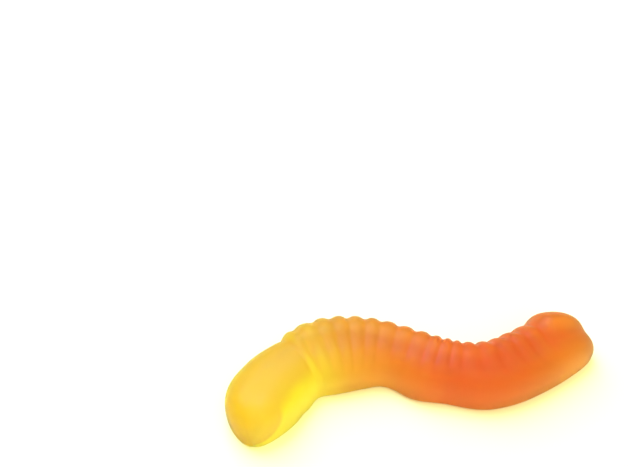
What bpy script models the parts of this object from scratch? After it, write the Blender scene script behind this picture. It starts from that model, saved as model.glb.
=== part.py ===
"""A moulded gummy worm, bent into a loose S and lying on its flat, open-mould face.

The body is one piece. A UV sphere is drawn out along a bent spine, from the tail tip at the
left to the head tip at the right. Its rows become the stations along the worm, and each row
takes a section with a flat base, a small rounded rim and a domed back. The back carries the
rings. The tail is a smooth paddle and the head a smooth knob, and both stand clear of the
ringed stretch with a small step.
"""

import math
import random

import bmesh
import bpy

MM = 0.001
NAME = "gummy_worm"

# The spine, in millimetres from the tail tip and degrees from +X towards +Y.
LENGTH = 66.8
TAIL_HEADING = 92.6
BENDS = (  # from, to, turn to the left
    (-4.0, 19.0, -57.5),
    (11.0, 36.5, -60.0),
    (35.5, 53.5, 52.5),
)
SPINE_STEP = 0.25

# Width and height of the smooth body: distance from the tail tip, width, height.
GIRTH = (
    (0.0, 12.8, 6.6),
    (5.0, 13.4, 6.8),
    (10.0, 12.4, 6.6),
    (15.0, 11.0, 6.8),
    (20.0, 12.0, 7.0),
    (33.0, 9.2, 7.0),
    (40.0, 9.4, 7.2),
    (54.0, 9.8, 6.8),
    (66.8, 9.1, 6.5),
)

# How far the near side stands out beyond half the width: distance from the tail tip, amount.
NEAR_SIDE = (
    (0.0, 0.0),
    (6.0, -0.8),
    (13.0, 0.0),
    (26.0, 0.5),
    (31.0, 0.0),
    (36.0, 0.6),
    (41.0, -0.5),
    (46.0, 0.0),
    (60.0, 0.1),
    (66.8, 0.4),
)

# The two ends: how far from the tip the outline and the back start to round off, and how squarely.
TAIL_OUTLINE, TAIL_OUTLINE_POWER = 8.0, 1.6
HEAD_OUTLINE, HEAD_OUTLINE_POWER = 13.5, 3.3
TAIL_BACK, TAIL_BACK_POWER = 4.0, 2.4
HEAD_BACK, HEAD_BACK_POWER = 9.2, 2.0
BASE_ROUNDING, BASE_POWER = 1.6, 3.0

# The section: the widest level above the floor, and the squareness of the dome and of the rim.
RIM_HEIGHT = 1.3
DOME_POWER_TAIL, DOME_POWER_BODY = 3.0, 2.3
RIM_POWER = 5.0
BASE_CUT = 1.05

# The rings, which cross the back at right angles to the spine, and their widths from tail to head.
RINGS_FROM = 14.5
RING_WIDTHS = (2.2, 2.6, 2.5, 2.1, 2.4, 2.2, 2.4, 2.7, 2.4, 2.1, 1.9, 1.8, 3.0, 3.5, 3.1, 2.6, 3.4)
RINGS_TO = RINGS_FROM + sum(RING_WIDTHS)
RING_RELIEF, RING_UNEVEN_RELIEF = 0.5, 0.25
GROOVE_SHARPNESS = 2.4
RING_REACH_TAIL, RING_REACH_HEAD = 165.0, 125.0
RING_FADE = 45.0
# The grooves are deepest down the far side. Over the back, between these angles, they get shallower.
BACK_SHARE, BACK_FROM, BACK_TO = 0.5, 50.0, 90.0

# The steps where the ringed stretch stands above the tail, and the head above the rings.
TAIL_STEP, TAIL_STEP_RUN = 0.9, 1.4
HEAD_STEP, HEAD_STEP_RUN = 1.1, 2.6
STEP_REACH = 130.0

# The mesh: rows of vertices along each stretch, and vertices around.
TAIL_ROWS, ROWS_PER_RING, HEAD_ROWS = 19, 6, 15
AROUND = 36
SEED = 7

COLOUR = (0.89, 0.30, 0.045, 1.0)
ROUGHNESS = 0.3
TRANSLUCENCY = 0.3


def clear_scene():
    for item in list(bpy.data.objects):
        bpy.data.objects.remove(item, do_unlink=True)


def eased(share):
    """Rises smoothly from 0 to 1 while share goes from 0 to 1."""
    share = min(max(share, 0.0), 1.0)
    return share * share * (3.0 - 2.0 * share)


def rounded(distance, length, power):
    """1 inside the body, falling to 0 at a tip as a superellipse of this length and power."""
    outside = min(max(1.0 - distance / length, 0.0), 1.0)
    return (1.0 - outside**power) ** (1.0 / power)


def heading(along):
    """Direction of the spine in radians, from +X towards +Y."""
    turned = sum(turn * eased((along - start) / (end - start)) for start, end, turn in BENDS)
    return math.radians(TAIL_HEADING + turned)


def spine_points():
    """The spine as points every SPINE_STEP from the tail tip."""
    points = [(0.0, 0.0)]
    for index in range(math.ceil(LENGTH / SPINE_STEP)):
        towards = heading((index + 0.5) * SPINE_STEP)
        x, y = points[-1]
        points.append((x + SPINE_STEP * math.cos(towards), y + SPINE_STEP * math.sin(towards)))
    return points


def spine_at(points, along):
    index = min(int(along / SPINE_STEP), len(points) - 2)
    share = along / SPINE_STEP - index
    (x0, y0), (x1, y1) = points[index], points[index + 1]
    return x0 + share * (x1 - x0), y0 + share * (y1 - y0)


def listed_at(table, along):
    """The values of a table at this distance, eased from one listed station to the next."""
    for (start, *low), (end, *high) in zip(table, table[1:]):
        if along <= end:
            share = eased((along - start) / (end - start))
            return [a + share * (b - a) for a, b in zip(low, high)]
    return list(table[-1][1:])


def ring_edges():
    """The grooves that part the rings, as distances from the tail tip."""
    return [RINGS_FROM + sum(RING_WIDTHS[:count]) for count in range(len(RING_WIDTHS) + 1)]


def stations(edges):
    """(distance from the tail tip, ring number or None, share of the way across that ring)."""
    rows = []
    for row in range(TAIL_ROWS):
        share = 1.0 - math.cos(0.5 * math.pi * row / TAIL_ROWS)
        rows.append((share * edges[0], None, 0.0))
    for ring in range(len(RING_WIDTHS)):
        for row in range(ROWS_PER_RING):
            share = row / ROWS_PER_RING
            rows.append((edges[ring] + share * (edges[ring + 1] - edges[ring]), ring, share))
    for row in range(HEAD_ROWS + 1):
        share = math.sin(0.5 * math.pi * row / HEAD_ROWS)
        rows.append((edges[-1] + share * (LENGTH - edges[-1]), None, 0.0))
    return rows


def reach_fade(angle, reach):
    """1 on the far side and the back, fading out before this angle round from the far rim."""
    return 1.0 - eased((angle - (reach - RING_FADE)) / RING_FADE)


def relief_at(along, ring, share, angle, depths):
    """How far the skin stands out of the smooth body at this angle, in degrees from the far rim."""
    raised = TAIL_STEP * eased((along - RINGS_FROM) / TAIL_STEP_RUN)
    raised += HEAD_STEP * eased((along - RINGS_TO) / HEAD_STEP_RUN)
    raised *= reach_fade(angle, STEP_REACH)
    if ring is not None:
        middle = eased((along - RINGS_FROM) / (RINGS_TO - RINGS_FROM))
        reach = RING_REACH_TAIL + middle * (RING_REACH_HEAD - RING_REACH_TAIL)
        groove = (0.5 + 0.5 * math.cos(2.0 * math.pi * share)) ** GROOVE_SHARPNESS
        groove *= 1.0 - (1.0 - BACK_SHARE) * eased((angle - BACK_FROM) / (BACK_TO - BACK_FROM))
        raised -= depths[ring] * groove * reach_fade(angle, reach)
    return raised


def signed_power(value, power):
    return math.copysign(abs(value) ** power, value)


def section_point(along, ring, share, turn, depths):
    """(sideways, up) in millimetres of the skin. turn is 0 at the far rim, a quarter on top."""
    width, height = listed_at(GIRTH, along)
    to_head = LENGTH - along
    outline = rounded(along, TAIL_OUTLINE, TAIL_OUTLINE_POWER)
    outline *= rounded(to_head, HEAD_OUTLINE, HEAD_OUTLINE_POWER)
    back = rounded(along, TAIL_BACK, TAIL_BACK_POWER) * rounded(to_head, HEAD_BACK, HEAD_BACK_POWER)
    base = rounded(min(along, to_head), BASE_ROUNDING, BASE_POWER)
    sideways, up = math.cos(turn), math.sin(turn)
    half = 0.5 * width + (listed_at(NEAR_SIDE, along)[0] if sideways < 0.0 else 0.0)
    if up >= 0.0:
        power = DOME_POWER_TAIL + eased(along / RINGS_FROM) * (DOME_POWER_BODY - DOME_POWER_TAIL)
        relief = relief_at(along, ring, share, math.degrees(turn), depths) * min(outline, back)
        reach = half * outline * signed_power(sideways, 2.0 / power)
        rise = (height - RIM_HEIGHT) * back * signed_power(up, 2.0 / power)
        return reach + relief * sideways, RIM_HEIGHT + rise + relief * up
    far_rim = relief_at(along, ring, share, 0.0, depths) * min(outline, back)
    relief = far_rim * max(sideways, 0.0) * (1.0 + up)
    reach = half * outline * signed_power(sideways, 2.0 / RIM_POWER)
    drop = min(1.0, BASE_CUT * base * abs(up) ** (2.0 / RIM_POWER))
    return reach + relief, RIM_HEIGHT * (1.0 - drop)


def worm_mesh():
    rng = random.Random(SEED)
    edges = ring_edges()
    depths = [RING_RELIEF * (1.0 + rng.uniform(-RING_UNEVEN_RELIEF, RING_UNEVEN_RELIEF)) for _ in edges]
    rows = stations(edges)
    spine = spine_points()
    shape = bmesh.new()
    bmesh.ops.create_uvsphere(shape, u_segments=AROUND, v_segments=len(rows) - 1, radius=1.0)
    for vertex in shape.verts:
        row = round((len(rows) - 1) * math.acos(max(-1.0, min(1.0, -vertex.co.z))) / math.pi)
        along, ring, share = rows[row]
        turn = math.atan2(vertex.co.y, vertex.co.x)
        sideways, up = section_point(along, ring, share, turn, depths)
        towards = heading(along)
        x, y = spine_at(spine, along)
        vertex.co = (
            MM * (x - sideways * math.sin(towards)),
            MM * (y + sideways * math.cos(towards)),
            MM * up,
        )
    centre_on_floor(shape)
    mesh = bpy.data.meshes.new(NAME)
    shape.to_mesh(mesh)
    shape.free()
    mesh.shade_smooth()
    return mesh


def centre_on_floor(shape):
    """Moves the origin to the middle of the worm's outline, on its flat base."""
    for axis in (0, 1):
        values = [vertex.co[axis] for vertex in shape.verts]
        middle = 0.5 * (min(values) + max(values))
        for vertex in shape.verts:
            vertex.co[axis] -= middle


def gummy_material():
    material = bpy.data.materials.new("gummy_jelly")
    material.use_nodes = True
    shader = material.node_tree.nodes["Principled BSDF"]
    shader.inputs["Base Color"].default_value = COLOUR
    shader.inputs["Roughness"].default_value = ROUGHNESS
    shader.inputs["Metallic"].default_value = 0.0
    shader.inputs["Subsurface Weight"].default_value = TRANSLUCENCY
    return material


def build():
    clear_scene()
    collection = bpy.data.collections.new("Gummy worm")
    bpy.context.scene.collection.children.link(collection)
    worm = bpy.data.objects.new(NAME, worm_mesh())
    worm.data.materials.append(gummy_material())
    collection.objects.link(worm)


build()
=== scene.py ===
"""The gummy worm, dressed: one piece of two-tone jelly lying on a white table in soft light.

The worm is modelled straight, as it lies in its mould: a D section is drawn, extruded station
by station to the head, and given its grooves and steps. It is then bent along its spine, the
way the soft sweet came to rest, and takes the place of the plain solid.
"""

import math
import random

import bmesh
import bpy
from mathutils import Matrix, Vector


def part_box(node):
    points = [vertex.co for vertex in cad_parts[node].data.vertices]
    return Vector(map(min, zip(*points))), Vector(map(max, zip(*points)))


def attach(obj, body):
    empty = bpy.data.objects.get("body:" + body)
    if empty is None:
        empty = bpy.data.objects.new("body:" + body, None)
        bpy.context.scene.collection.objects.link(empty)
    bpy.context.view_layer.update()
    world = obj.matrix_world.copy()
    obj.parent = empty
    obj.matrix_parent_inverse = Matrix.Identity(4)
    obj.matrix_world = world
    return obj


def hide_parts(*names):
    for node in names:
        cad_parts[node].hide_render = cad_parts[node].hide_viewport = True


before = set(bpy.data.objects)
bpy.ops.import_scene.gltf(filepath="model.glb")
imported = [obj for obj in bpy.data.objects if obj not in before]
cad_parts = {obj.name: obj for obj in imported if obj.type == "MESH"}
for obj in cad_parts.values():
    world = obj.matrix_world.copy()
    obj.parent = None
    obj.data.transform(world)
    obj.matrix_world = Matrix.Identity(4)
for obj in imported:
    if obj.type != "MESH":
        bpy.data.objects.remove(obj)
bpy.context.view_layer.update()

MM = 0.001
NODE = "gummy_worm"

# The spine, in millimetres from the tail tip and degrees from +X towards +Y.
LENGTH = 66.8
TAIL_HEADING = 92.6
BENDS = (  # from, to, turn to the left
    (-4.0, 19.0, -57.5),
    (11.0, 36.5, -60.0),
    (35.5, 53.5, 52.5),
)
SPINE_STEP = 0.5

# Width and height of the smooth body: distance from the tail tip, width, height.
GIRTH = (
    (0.0, 12.8, 6.6),
    (5.0, 13.4, 6.8),
    (10.0, 12.4, 6.6),
    (15.0, 11.0, 6.8),
    (20.0, 12.0, 7.0),
    (33.0, 9.2, 7.0),
    (40.0, 9.4, 7.2),
    (54.0, 9.8, 6.8),
    (66.8, 9.1, 6.5),
)

# How far the near side stands out beyond half the width: distance from the tail tip, amount.
NEAR_SIDE = (
    (0.0, 0.0),
    (6.0, -0.8),
    (13.0, 0.0),
    (26.0, 0.5),
    (31.0, 0.0),
    (36.0, 0.6),
    (41.0, -0.5),
    (46.0, 0.0),
    (60.0, 0.1),
    (66.8, 0.4),
)

# The two ends: how far from the tip the outline and the back start to round off, and how squarely.
TAIL_OUTLINE, TAIL_OUTLINE_POWER = 8.0, 1.6
HEAD_OUTLINE, HEAD_OUTLINE_POWER = 13.5, 3.3
TAIL_BACK, TAIL_BACK_POWER = 4.0, 2.4
HEAD_BACK, HEAD_BACK_POWER = 8.4, 2.2
BASE_ROUNDING, BASE_POWER = 1.6, 3.0

# The section: the widest level above the floor, the squareness of the dome and of the rim, and how
# many times deeper than the floor the rim's curve would run, which the floor cuts off flat.
RIM_HEIGHT = 1.3
DOME_POWER = 2.35
RIM_POWER = 5.0
BASE_CUT = 1.05

# The rings, with their widths from tail to head, and the steps on either side of them. A reach is
# the angle round from the far rim, in degrees, by which grooves or steps have faded out.
RINGS_FROM = 14.5
RING_WIDTHS = (
    2.2, 2.6, 2.5, 2.1, 2.4, 2.2, 2.4, 2.7, 2.4,
    2.1, 1.9, 1.8, 3.0, 3.5, 3.1, 2.6, 3.4,
)
RINGS_TO = RINGS_FROM + sum(RING_WIDTHS)
RING_RELIEF, RING_UNEVEN_RELIEF = 0.5, 0.25
GROOVE_SHARPNESS = 2.0
RING_REACH_TAIL, RING_REACH_HEAD = 165.0, 125.0
RING_FADE = 45.0
# The grooves are deepest down the far side and get shallower over the back, between these angles.
BACK_SHARE, BACK_FROM, BACK_TO = 0.3, 45.0, 80.0
TAIL_STEP, TAIL_STEP_RUN = 0.9, 1.9
HEAD_STEP, HEAD_STEP_RUN = 1.1, 2.6
STEP_REACH = 105.0

# The flat top of the tail: shoulders that stand out on both sides, and how wide they are.
SHOULDER, SHOULDER_SPREAD = 0.35, 55.0
SHOULDER_ANGLE = 45.0

# Fine unevenness of the whole skin.
UNEVEN_DEPTH, UNEVEN_SIZE = 0.2, 7.0

# The mesh: points around, and rows of points along the tail, each ring and the head.
AROUND = 72
TAIL_ROWS, ROWS_PER_RING, HEAD_ROWS = 24, 7, 22
# Places that differ by less than this count as one, in metres, and distances in millimetres.
SAME_PLACE, SAME_DISTANCE = 2e-7, 1e-6
# The uneven depths of the grooves are drawn at random from this seed.
SEED = 7

# The camera assumed for the photograph: its place in millimetres from the worm's middle, how many
# degrees it looks down, its lens, and how near and far it sees in metres.
CAMERA_PLACE = (-16.44, -60.88, 87.5)
CAMERA_DOWN = 42.0
CAMERA_FOCAL_PX, IMAGE_WIDTH_PX = 640.0, 628.0
SENSOR_WIDTH = 36.0
CAMERA_NEAR, CAMERA_FAR = 0.005, 10.0

# The jelly: its colours from the tail tip (0) to the head tip (1). On the back they are its own two
# tones;
# on the flanks they are lighter and yellower, a painted glow of light coming through the thin jelly.
BACK_COLOURS = (
    (0.00, (0.82, 0.59, 0.13)),
    (0.16, (0.825, 0.60, 0.125)),
    (0.22, (0.825, 0.60, 0.105)),
    (0.28, (0.825, 0.64, 0.095)),
    (0.34, (0.82, 0.51, 0.08)),
    (0.40, (0.82, 0.43, 0.07)),
    (0.50, (0.82, 0.31, 0.055)),
    (0.58, (0.82, 0.235, 0.05)),
    (0.67, (0.82, 0.21, 0.05)),
    (0.76, (0.82, 0.215, 0.05)),
    (0.86, (0.82, 0.22, 0.05)),
    (0.92, (0.82, 0.28, 0.055)),
    (1.00, (0.82, 0.33, 0.055)),
)
FLANK_GLOW_COLOURS = (
    (0.00, (0.95, 0.95, 0.13)),
    (0.18, (0.95, 0.95, 0.12)),
    (0.27, (0.90, 0.79, 0.11)),
    (0.34, (0.86, 0.57, 0.095)),
    (0.42, (0.85, 0.45, 0.08)),
    (0.52, (0.86, 0.39, 0.075)),
    (0.61, (0.85, 0.24, 0.06)),
    (0.75, (0.85, 0.31, 0.06)),
    (0.87, (0.83, 0.43, 0.06)),
    (1.00, (0.83, 0.45, 0.065)),
)
# The flanks' painted glow starts and is full at these shares of the way from the ridge to the near
# rim.
# The tail's pair gives way to the body's between the last two, which are shares of the length.
TAIL_FLANK_GLOW = (0.36, 0.58)
BODY_FLANK_GLOW = (0.1, 0.75)
TAIL_END, BODY_START = 0.14, 0.34
# On the far side the same lighter colour is a painted glow and sheen, and the way from the ridge
# counts for these shares only, from tail to head. At the tail tip it counts TIP_DROP less, up to
# TIP_END, and on the crests of the rings CREST_HIGHLIGHT more, which paints lighter highlights on the
# crests.
FAR_GLOW_SHARES = (
    (0.0, 0.7),
    (0.18, 0.7),
    (0.36, 0.15),
    (0.58, 0.15),
    (0.68, 0.5),
    (0.78, 0.3),
    (1.0, 0.4),
)
TIP_DROP, TIP_END = 0.45, 0.07
CREST_HIGHLIGHT = 0.3
# The far side is slightly redder and much less blue, which offsets the cool window of this scene.
# The tint starts and is full at these shares of the way from the ridge to the far rim.
FAR_TINT, FAR_TINT_FROM, FAR_TINT_TO = (1.06, 1.0, 0.42), -0.12, 0.4
# Along the low near edge, from the rings to the head, runs a darker line of painted shade where the
# jelly meets the table. It starts, is full, thins and ends at these shares of the way from the ridge
# to the near rim, where more than 1 is below it, and it fades out between EDGE_SHADE_FADES and
# EDGE_SHADE_ENDS, which are shares of the length.
EDGE_SHADE_TINT, EDGE_SHADE_LINE = (0.78, 0.52, 0.4), (1.07, 1.14, 1.22, 1.35)
EDGE_SHADE_FADES, EDGE_SHADE_ENDS = 0.9, 0.975
# V in the skin map is RIDGE_V on the ridge. Its distance from there, times RIM_SHARES, is the
# share of the way round to a rim: 1 at the near rim and -1 at the far one.
RIDGE_V, RIM_SHARES = 0.5, 4.0

# The jelly's faint colour patches, its mottled roughness, its fine pits, and how it bends, mirrors,
# lets through, scatters and takes in light. Noise scales are for each metre, PIT_DEPTH is in metres,
# JELLY_CLOUD_DEPTH in millimetres and JELLY_DENSITY for each millimetre. JELLY_CLOUD_REACH is the
# share of the cloud depth that red, green and blue light travel.
NOISE_DETAIL = 2.0
PATCH_SCALE, PATCH_SHIFT, PATCH_SPREAD = 90.0, 0.04, 0.3
JELLY_ROUGHNESS, ROUGHNESS_SPREAD, ROUGHNESS_SCALE = 0.48, 0.1, 600.0
PIT_SCALE, PIT_DEPTH, PIT_STRENGTH = 1800.0, 0.00003, 0.25
JELLY_IOR = 1.42
JELLY_GLOSS = 0.15
JELLY_CLARITY = 0.85
JELLY_CLOUD_DEPTH, JELLY_CLOUD_REACH = 6.0, (1.0, 0.6, 0.3)
JELLY_DEPTH_COLOUR = (1.0, 0.83, 0.3)
JELLY_DENSITY = 0.05

# The table top: its size in metres, how far it lies below the base in millimetres, and its finish.
TABLE_SIZE, TABLE_GAP = 6.0, 0.05
TABLE_COLOUR = (0.9, 0.9, 0.9)
TABLE_ROUGHNESS, TABLE_GLOSS = 0.7, 0.1

# The light: a pale yellow room and soft boxes, each with its place in metres, size, watts and colour.
ROOM_COLOUR, ROOM_STRENGTH = (1.0, 0.97, 0.4), 0.8
SOFT_BOXES = (
    ("window", (-0.3, 0.46, 0.74), 0.8, 7.9, (0.58, 0.66, 1.0)),
    ("ceiling", (0.05, -0.1, 0.9), 1.0, 3.6, (1.0, 0.96, 0.42)),
    ("lamp", (0.1, -0.5, 0.6), 0.8, 2.6, (1.0, 0.96, 0.42)),
)


def eased(share):
    """Rises smoothly from 0 to 1 while share goes from 0 to 1."""
    share = min(max(share, 0.0), 1.0)
    return share * share * (3.0 - 2.0 * share)


def rounded(distance, length, power):
    """1 inside the body, falling to 0 at a tip as a superellipse of this length and power."""
    outside = min(max(1.0 - distance / length, 0.0), 1.0)
    return (1.0 - outside**power) ** (1.0 / power)


def heading(along):
    """Direction of the spine in radians, from +X towards +Y."""
    turned = sum(turn * eased((along - start) / (end - start)) for start, end, turn in BENDS)
    return math.radians(TAIL_HEADING + turned)


def listed_at(table, along):
    """The values of a table at this distance, eased from one listed station to the next."""
    for (start, *low), (end, *high) in zip(table, table[1:]):
        if along <= end:
            share = eased((along - start) / (end - start))
            return [a + share * (b - a) for a, b in zip(low, high)]
    return list(table[-1][1:])


def ring_edges():
    """The grooves that part the rings, as distances from the tail tip."""
    return [RINGS_FROM + sum(RING_WIDTHS[:count]) for count in range(len(RING_WIDTHS) + 1)]


def stations(edges):
    """Distances from the tail tip at which the section is drawn."""
    rows = []
    for row in range(TAIL_ROWS):
        share = 1.0 - math.cos(0.5 * math.pi * max(row, 0.5) / TAIL_ROWS)
        rows.append(share * edges[0])
    for start, end in zip(edges, edges[1:]):
        rows += [start + row / ROWS_PER_RING * (end - start) for row in range(ROWS_PER_RING)]
    for row in range(HEAD_ROWS):
        share = math.sin(0.5 * math.pi * row / (HEAD_ROWS - 0.5))
        rows.append(edges[-1] + share * (LENGTH - edges[-1]))
    return rows


def sizes_at(along):
    """How far the section reaches from the middle of its rim line: near, far, up and down."""
    width, height = listed_at(GIRTH, along)
    to_head = LENGTH - along
    outline = rounded(along, TAIL_OUTLINE, TAIL_OUTLINE_POWER)
    outline *= rounded(to_head, HEAD_OUTLINE, HEAD_OUTLINE_POWER)
    back = rounded(along, TAIL_BACK, TAIL_BACK_POWER) * rounded(to_head, HEAD_BACK, HEAD_BACK_POWER)
    base = rounded(min(along, to_head), BASE_ROUNDING, BASE_POWER)
    near = (0.5 * width + listed_at(NEAR_SIDE, along)[0]) * outline
    return near, 0.5 * width * outline, (height - RIM_HEIGHT) * back, RIM_HEIGHT * base


def only(piece):
    """Makes this the one selected and active object."""
    bpy.ops.object.select_all(action="DESELECT")
    piece.select_set(True)
    bpy.context.view_layer.objects.active = piece


def apply_modifier(piece, modifier):
    only(piece)
    bpy.ops.object.modifier_apply(modifier=modifier.name)


def signed_power(value, power):
    return math.copysign(abs(value) ** power, value)


def pick_in_last_section(worm, chosen):
    """In edit mode, selects those vertices of the newest section whose place passes the test."""
    bpy.ops.mesh.select_all(action="DESELECT")
    shape = bmesh.from_edit_mesh(worm.data)
    shape.verts.ensure_lookup_table()
    for vertex in shape.verts[-AROUND:]:
        vertex.select_set(chosen(vertex.co))
    shape.select_flush_mode()
    bmesh.update_edit_mesh(worm.data)


def draw_section(worm, along):
    """Turns a unit circle into the mould's section: a flat base, a small rim and a domed back."""
    near, far, rise, drop = sizes_at(along)
    shape = bmesh.from_edit_mesh(worm.data)
    for vertex in shape.verts:
        sideways, up = vertex.co.y, vertex.co.z
        if abs(up) < SAME_PLACE:
            up = 0.0
        power = DOME_POWER if up >= 0.0 else RIM_POWER
        level = signed_power(up, 2.0 / power)
        level = level * rise if up >= 0.0 else max(-1.0, level * BASE_CUT) * drop
        sideways = signed_power(sideways, 2.0 / power) * (near if sideways < 0.0 else far)
        vertex.co = (along * MM, sideways * MM, (RIM_HEIGHT + level) * MM)
    bmesh.update_edit_mesh(worm.data)


def extrude_to(worm, last, along):
    """Extrudes the last section to the next station and resizes it to the worm's girth there."""
    pick_in_last_section(worm, lambda co: True)
    move = ((along - last) * MM, 0.0, 0.0)
    bpy.ops.mesh.extrude_region_move(TRANSFORM_OT_translate={"value": move})
    near, far, rise, drop = (new / old for new, old in zip(sizes_at(along), sizes_at(last)))
    rim = RIM_HEIGHT * MM
    middle = (along * MM, 0.0, rim)
    for chosen, sideways, upright in (
        (lambda co: co.y < 0.0, near, 1.0),
        (lambda co: co.y > 0.0, far, 1.0),
        (lambda co: co.z > rim, 1.0, rise),
        (lambda co: co.z < rim, 1.0, drop),
    ):
        pick_in_last_section(worm, chosen)
        bpy.ops.transform.resize(value=(1.0, sideways, upright), center_override=middle)


def close_tip(worm, along):
    """Draws the section at this end together into one point."""
    bpy.ops.mesh.select_all(action="DESELECT")
    shape = bmesh.from_edit_mesh(worm.data)
    for vertex in shape.verts:
        vertex.select_set(abs(vertex.co.x - along * MM) < SAME_PLACE)
    shape.select_flush_mode()
    bmesh.update_edit_mesh(worm.data)
    bpy.ops.mesh.merge(type="CENTER")


def straight_worm(rows):
    """The smooth worm as it lies in its mould, tail tip at X = 0 and base on Z = 0."""
    bpy.ops.object.select_all(action="DESELECT")
    bpy.ops.mesh.primitive_circle_add(
        vertices=AROUND, radius=1.0, fill_type="NOTHING", location=(0.0, 0.0, 0.0),
        rotation=(0.5 * math.pi, 0.0, 0.5 * math.pi),
    )
    worm = bpy.context.object
    worm.name = worm.data.name = "jelly_worm"
    bpy.ops.object.transform_apply(location=True, rotation=True, scale=True)
    bpy.ops.object.mode_set(mode="EDIT")
    draw_section(worm, rows[0])
    for last, along in zip(rows, rows[1:]):
        extrude_to(worm, last, along)
    close_tip(worm, rows[0])
    close_tip(worm, rows[-1])
    bpy.ops.mesh.select_all(action="SELECT")
    bpy.ops.mesh.normals_make_consistent(inside=False)
    bpy.ops.object.mode_set(mode="OBJECT")
    return worm


def reach_fade(angle, reach):
    """1 on the far side and the back, fading out before this angle round from the far rim."""
    return 1.0 - eased((angle - (reach - RING_FADE)) / RING_FADE)


def ring_at(along, angle, edges):
    """The ring at this distance, the share of the way across it, and how far it shows here."""
    if not edges[0] <= along <= edges[-1]:
        return 0, 0.0, 0.0
    ring = max(index for index, edge in enumerate(edges[:-1]) if edge <= along + SAME_DISTANCE)
    share = (along - edges[ring]) / (edges[ring + 1] - edges[ring])
    middle = eased((along - RINGS_FROM) / (RINGS_TO - RINGS_FROM))
    reach = RING_REACH_TAIL + middle * (RING_REACH_HEAD - RING_REACH_TAIL)
    return ring, share, reach_fade(angle, reach)


def groove_at(along, angle, edges, depths):
    """How deep the skin dips between the rings, in millimetres."""
    ring, share, shown = ring_at(along, angle, edges)
    groove = (0.5 + 0.5 * math.cos(2.0 * math.pi * share)) ** GROOVE_SHARPNESS
    groove *= 1.0 - (1.0 - BACK_SHARE) * eased((angle - BACK_FROM) / (BACK_TO - BACK_FROM))
    return depths[ring] * groove * shown


def crest_at(along, angle, edges):
    """1 on the crest of a ring, 0 in the grooves and away from the rings."""
    _, share, shown = ring_at(along, angle, edges)
    return (0.5 - 0.5 * math.cos(2.0 * math.pi * share)) * shown


def step_at(along, angle):
    """How far the ringed stretch, and then the head, stand out of the tail's line."""
    raised = TAIL_STEP * eased((along - RINGS_FROM) / TAIL_STEP_RUN)
    raised += HEAD_STEP * eased((along - RINGS_TO) / HEAD_STEP_RUN)
    back = rounded(LENGTH - along, HEAD_BACK, HEAD_BACK_POWER)
    return raised * reach_fade(angle, STEP_REACH) * back


def shoulder_at(along, angle):
    """Share of the shoulder's height: full along the tail's two top edges, none elsewhere."""
    off_edge = min(abs(angle - SHOULDER_ANGLE), abs(angle - (180.0 - SHOULDER_ANGLE)))
    ends = (1.0 - eased(along / RINGS_FROM)) * eased(along / TAIL_BACK)
    return eased(1.0 - off_edge / SHOULDER_SPREAD) * ends


def place_on_skin(vertex):
    """Distance from the tail tip, angle round from the far rim, and height as a share of the rim's."""
    x, y, z = vertex.co / MM
    angle = 180.0
    if z >= RIM_HEIGHT or y > 0.0:
        angle = max(math.degrees(math.atan2(z - RIM_HEIGHT, y)), 0.0)
    return x, angle, min(z / RIM_HEIGHT, 1.0)


def displace(worm, name, strength, weight_of, direction="NORMAL", texture=None):
    """Moves the skin along its normals or an axis, by a weight and perhaps a texture."""
    group = worm.vertex_groups.new(name=name)
    for vertex in worm.data.vertices:
        along, angle, low_share = place_on_skin(vertex)
        weight = weight_of(along, angle) * low_share
        if weight > 0.0:
            group.add([vertex.index], min(weight, 1.0), "REPLACE")
    modifier = worm.modifiers.new(name, "DISPLACE")
    modifier.vertex_group = name
    modifier.direction = direction
    modifier.strength = strength * MM
    modifier.mid_level = 0.0
    if texture:
        modifier.mid_level = 0.5
        modifier.texture = texture
    apply_modifier(worm, modifier)


def add_relief(worm, edges, depths):
    """Squares the tail's shoulders, presses the grooves in and raises the steps."""
    deepest, highest = max(depths), TAIL_STEP + HEAD_STEP
    displace(worm, "shoulders", SHOULDER, shoulder_at)
    displace(
        worm, "grooves", -deepest,
        lambda x, angle: groove_at(x, angle, edges, depths) / deepest,
    )
    for name, direction, share_at in (("steps_out", "Y", math.cos), ("steps_up", "Z", math.sin)):
        displace(
            worm, name, highest,
            lambda x, angle: step_at(x, angle) * share_at(math.radians(angle)) / highest,
            direction,
        )


def add_unevenness(worm):
    """The slight dents and swellings that a soft sweet has all over."""
    dents = bpy.data.textures.new("dents", "CLOUDS")
    dents.noise_scale = UNEVEN_SIZE * MM
    displace(worm, "skin", UNEVEN_DEPTH, lambda x, angle: 1.0, texture=dents)


def paint_crests(worm, edges):
    """Stores on the skin how near each place is to the crest of a ring; the material lightens the
    crests by it, a painted highlight.
    """
    crests = worm.data.attributes.new("crest", "FLOAT", "POINT")
    for vertex, stored in zip(worm.data.vertices, crests.data):
        along, angle, low_share = place_on_skin(vertex)
        stored.value = crest_at(along, angle, edges) * low_share


def unwrap(worm):
    """A UV map that follows the skin: U from the tail tip to the head tip, V round from below."""
    layer = worm.data.uv_layers.new(name="skin")
    for polygon in worm.data.polygons:
        turns = []
        for index in polygon.vertices:
            x, y, z = worm.data.vertices[index].co / MM
            turns.append((math.atan2(z - RIM_HEIGHT, y) / (2.0 * math.pi) + 0.25) % 1.0)
        crosses = max(turns) - min(turns) > 0.5
        for loop, index, turn in zip(polygon.loop_indices, polygon.vertices, turns):
            along = worm.data.vertices[index].co.x / (LENGTH * MM)
            layer.data[loop].uv = (along, turn + 1.0 if crosses and turn < 0.5 else turn)


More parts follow.
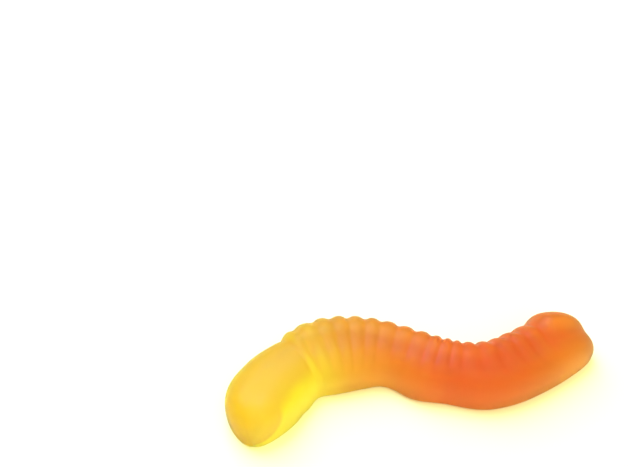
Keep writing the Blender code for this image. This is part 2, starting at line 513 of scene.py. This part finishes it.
def spine_curve():
    """The line that the worm lies along, as a curve on the table."""
    points = [(0.0, 0.0)]
    for index in range(math.ceil(LENGTH / SPINE_STEP) + 1):
        towards = heading((index + 0.5) * SPINE_STEP)
        x, y = points[-1]
        points.append((x + SPINE_STEP * math.cos(towards), y + SPINE_STEP * math.sin(towards)))
    data = bpy.data.curves.new("spine", "CURVE")
    data.dimensions = "2D"
    data.use_path = True
    spline = data.splines.new("POLY")
    spline.points.add(len(points) - 1)
    for point, (x, y) in zip(spline.points, points):
        point.co = (x * MM, y * MM, 0.0, 1.0)
    curve = bpy.data.objects.new("spine", data)
    bpy.context.scene.collection.objects.link(curve)
    return curve


def bend(worm):
    """Lays the straight worm along its spine."""
    curve = spine_curve()
    modifier = worm.modifiers.new("lie_down", "CURVE")
    modifier.object = curve
    modifier.deform_axis = "POS_X"
    apply_modifier(worm, modifier)
    bpy.data.objects.remove(curve, do_unlink=True)


def set_on_node(worm):
    """Moves the worm's middle over the solid's, with its base on the table."""
    low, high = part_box(NODE)
    corners = [vertex.co for vertex in worm.data.vertices]
    for axis in (0, 1):
        values = [co[axis] for co in corners]
        shift = 0.5 * (low[axis] + high[axis] - min(values) - max(values))
        for co in corners:
            co[axis] += shift


def model_worm():
    """The finished worm: drawn straight, given its relief, smoothed and laid along its spine."""
    rng = random.Random(SEED)
    edges = ring_edges()
    uneven = RING_UNEVEN_RELIEF
    depths = [RING_RELIEF * (1.0 + rng.uniform(-uneven, uneven)) for _ in edges]
    worm = straight_worm(stations(edges))
    paint_crests(worm, edges)
    add_relief(worm, edges, depths)
    unwrap(worm)
    smoother = worm.modifiers.new("soften", "SUBSURF")
    smoother.levels = smoother.render_levels = 1
    apply_modifier(worm, smoother)
    add_unevenness(worm)
    bend(worm)
    set_on_node(worm)
    worm.data.shade_smooth()
    return worm


class Graph:
    """A material's nodes, with a short way to add a node and to feed its sockets."""

    def __init__(self, name):
        self.material = bpy.data.materials.new(name)
        self.material.use_nodes = True
        self.tree = self.material.node_tree
        self.shader = self.tree.nodes["Principled BSDF"]

    def feed(self, socket, value):
        if isinstance(value, bpy.types.NodeSocket):
            self.tree.links.new(value, socket)
        else:
            socket.default_value = value

    def add(self, kind, *values, **settings):
        node = self.tree.nodes.new("ShaderNode" + kind)
        for name, value in settings.items():
            setattr(node, name, value)
        for socket, value in zip(node.inputs, values):
            self.feed(socket, value)
        return node

    def math(self, operation, *values):
        return self.add("Math", *values, operation=operation).outputs[0]

    def smooth_step(self, value, start, end):
        node = self.add("MapRange", value, start, end, 0.0, 1.0, interpolation_type="SMOOTHSTEP")
        return node.outputs[0]

    def noise(self, vector, scale):
        node = self.add("TexNoise")
        self.feed(node.inputs["Vector"], vector)
        node.inputs["Scale"].default_value = scale
        node.inputs["Detail"].default_value = NOISE_DETAIL
        return node.outputs["Fac"]

    def tint(self, colour, factor, by):
        """The colour, multiplied by another one as far as the factor goes."""
        node = self.add("Mix", data_type="RGBA", blend_type="MULTIPLY")
        self.feed(node.inputs["Factor"], factor)
        self.feed(node.inputs["A"], colour)
        self.feed(node.inputs["B"], (*by, 1.0))
        return node.outputs["Result"]

    def colours(self, place, stops):
        node = self.add("ValToRGB", place)
        elements = node.color_ramp.elements
        while len(elements) < len(stops):
            elements.new(0.5)
        for element, (position, colour) in zip(elements, stops):
            element.position = position
            element.color = (*colour, 1.0)
        return node.outputs["Color"]


def skin_colour_and_painted_light(graph, around_object):
    """The jelly's colour from tail to head, its own on the back and a painted glow on the flanks, with
    painted highlights on the ring crests, its far-side tint against the cool window and a painted
    shade line along the near base.
    """
    skin = graph.add("SeparateXYZ", graph.add("UVMap", uv_map="skin").outputs["UV"])
    patch = graph.math("SUBTRACT", graph.noise(around_object, PATCH_SCALE), 0.5)
    along = graph.math("ADD", skin.outputs["X"], graph.math("MULTIPLY", patch, PATCH_SHIFT))
    off_ridge = graph.math("SUBTRACT", skin.outputs["Y"], RIDGE_V)
    turn = graph.math("MULTIPLY", off_ridge, RIM_SHARES)
    past_tail = graph.smooth_step(along, TAIL_END, BODY_START)
    start, full = (
        graph.add("MapRange", past_tail, 0.0, 1.0, tail, body).outputs[0]
        for tail, body in zip(TAIL_FLANK_GLOW, BODY_FLANK_GLOW)
    )
    far = graph.colours(along, [(place, (share, share, share)) for place, share in FAR_GLOW_SHARES])
    far_turn = graph.math("MULTIPLY", graph.math("MULTIPLY", turn, far), -1.0)
    from_ridge = graph.math("MAXIMUM", turn, far_turn)
    # The crests of the rings get more of the lighter colour: a painted highlight on each crest.
    crest = graph.add("Attribute", attribute_name="crest").outputs["Fac"]
    from_ridge = graph.math("MULTIPLY_ADD", crest, CREST_HIGHLIGHT, from_ridge)
    drop = graph.math("MULTIPLY", graph.smooth_step(along, TIP_END, 0.0), -TIP_DROP)
    spread = graph.math("MULTIPLY_ADD", patch, PATCH_SPREAD, graph.math("ADD", from_ridge, drop))
    # The back's own colour gives way to the painted glow of light coming through the thin flanks.
    glow_blend = graph.add("Mix", data_type="RGBA")
    graph.feed(glow_blend.inputs["Factor"], graph.smooth_step(spread, start, full))
    graph.feed(glow_blend.inputs["A"], graph.colours(along, BACK_COLOURS))
    graph.feed(glow_blend.inputs["B"], graph.colours(along, FLANK_GLOW_COLOURS))
    towards_far = graph.math("MULTIPLY", turn, -1.0)
    far_side = graph.smooth_step(towards_far, FAR_TINT_FROM, FAR_TINT_TO)
    # A line of painted shade along the near base, where the jelly meets the table.
    starts, full_on, thins, ends = EDGE_SHADE_LINE
    edge = graph.math("MULTIPLY", graph.smooth_step(turn, starts, full_on), past_tail)
    edge = graph.math("MULTIPLY", edge, graph.smooth_step(turn, ends, thins))
    edge = graph.math("MULTIPLY", edge, graph.smooth_step(along, EDGE_SHADE_ENDS, EDGE_SHADE_FADES))
    return graph.tint(graph.tint(glow_blend.outputs["Result"], far_side, FAR_TINT), edge, EDGE_SHADE_TINT)


def jelly_material():
    """Softly clouded, see-through jelly in two tones, with fine pits and an uneven gloss."""
    graph = Graph("two_tone_jelly")
    around_object = graph.add("TexCoord").outputs["Object"]
    graph.feed(graph.shader.inputs["Base Color"], skin_colour_and_painted_light(graph, around_object))
    mottle = graph.noise(around_object, ROUGHNESS_SCALE)
    low, high = JELLY_ROUGHNESS - ROUGHNESS_SPREAD, JELLY_ROUGHNESS + ROUGHNESS_SPREAD
    roughness = graph.add("MapRange", mottle, 0.0, 1.0, low, high).outputs[0]
    graph.feed(graph.shader.inputs["Roughness"], roughness)
    pits = graph.add("Bump")
    pits.inputs["Strength"].default_value = PIT_STRENGTH
    pits.inputs["Distance"].default_value = PIT_DEPTH
    graph.feed(pits.inputs["Height"], graph.noise(around_object, PIT_SCALE))
    graph.feed(graph.shader.inputs["Normal"], pits.outputs["Normal"])
    settings = {
        "IOR": JELLY_IOR,
        "Specular IOR Level": JELLY_GLOSS,
        "Transmission Weight": JELLY_CLARITY,
        "Subsurface Weight": 1.0,
        "Subsurface Scale": JELLY_CLOUD_DEPTH * MM,
        "Subsurface Radius": JELLY_CLOUD_REACH,
    }
    for name, value in settings.items():
        graph.shader.inputs[name].default_value = value
    depth = graph.add("VolumeAbsorption")
    depth.inputs["Color"].default_value = (*JELLY_DEPTH_COLOUR, 1.0)
    depth.inputs["Density"].default_value = JELLY_DENSITY / MM
    output = graph.tree.nodes["Material Output"]
    graph.feed(output.inputs["Volume"], depth.outputs["Volume"])
    return graph.material


def table():
    """A plain white table top, a hair below the worm's base."""
    bpy.ops.object.select_all(action="DESELECT")
    bpy.ops.mesh.primitive_plane_add(size=TABLE_SIZE, location=(0.0, 0.0, -TABLE_GAP * MM))
    floor = bpy.context.object
    floor.name = "table_top"
    material = bpy.data.materials.new("white_table")
    material.use_nodes = True
    shader = material.node_tree.nodes["Principled BSDF"]
    shader.inputs["Base Color"].default_value = (*TABLE_COLOUR, 1.0)
    shader.inputs["Roughness"].default_value = TABLE_ROUGHNESS
    shader.inputs["Specular IOR Level"].default_value = TABLE_GLOSS
    floor.data.materials.append(material)
    bpy.ops.object.transform_apply(location=True, rotation=True, scale=True)


def soft_box(name, place, size, power, colour):
    """A large square lamp that looks at the worm."""
    data = bpy.data.lights.new(name, "AREA")
    data.shape = "SQUARE"
    data.size = size
    data.energy = power
    data.color = colour
    lamp = bpy.data.objects.new(name, data)
    lamp.location = place
    lamp.rotation_euler = (-lamp.location).to_track_quat("-Z", "Y").to_euler()
    bpy.context.scene.collection.objects.link(lamp)


def studio():
    """The room's own light, and the soft boxes in it."""
    world = bpy.data.worlds.new("pale_room")
    world.use_nodes = True
    world.node_tree.nodes["Background"].inputs["Color"].default_value = (*ROOM_COLOUR, 1.0)
    world.node_tree.nodes["Background"].inputs["Strength"].default_value = ROOM_STRENGTH
    bpy.context.scene.world = world
    for name, place, size, power, colour in SOFT_BOXES:
        soft_box(name, place, size, power, colour)
    bpy.context.scene.view_settings.view_transform = "Standard"


def camera():
    """The camera, at the place assumed for the photograph's."""
    data = bpy.data.cameras.new("camera")
    data.sensor_width = SENSOR_WIDTH
    data.lens = CAMERA_FOCAL_PX / IMAGE_WIDTH_PX * SENSOR_WIDTH
    data.clip_start = CAMERA_NEAR
    data.clip_end = CAMERA_FAR
    data.dof.use_dof = False
    eye = bpy.data.objects.new("camera", data)
    eye.location = [value * MM for value in CAMERA_PLACE]
    eye.rotation_euler = (math.radians(90.0 - CAMERA_DOWN), 0.0, 0.0)
    bpy.context.scene.collection.objects.link(eye)
    bpy.context.scene.camera = eye


worm = model_worm()
worm.data.materials.append(jelly_material())
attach(worm, "root")
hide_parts(NODE)
table()
studio()
camera()
